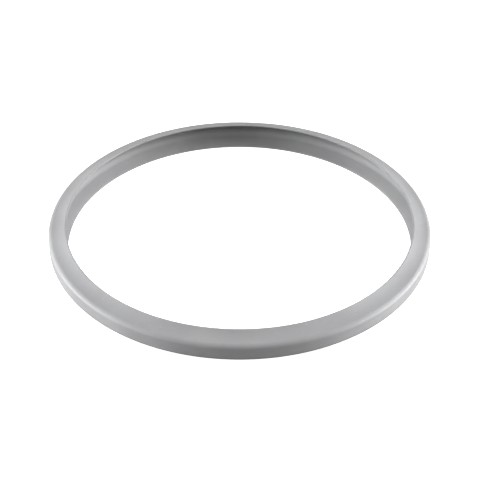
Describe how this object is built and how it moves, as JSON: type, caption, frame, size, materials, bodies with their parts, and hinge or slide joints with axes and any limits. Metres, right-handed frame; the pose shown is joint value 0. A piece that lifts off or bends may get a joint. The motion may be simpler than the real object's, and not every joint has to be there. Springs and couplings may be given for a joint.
{
  "type": "pressure cooker sealing ring",
  "caption": "Round elastic sealing ring with a C-shaped section open to the inside, with flared lips and rounded edges.",
  "frame": {"origin": "centre of the ring, in the plane that the tip of the lower lip rests on", "axes": "+Z along the ring's axis, from the lower lip to the upper one; X and Y across the ring"},
  "size_m": [0.224, 0.224, 0.0171],
  "materials": {
    "silicone": "satin grey silicone rubber with a fine moulded texture"
  },
  "bodies": {
    "root": {"sealing_ring": "silicone"}
  },
  "joints": []
}
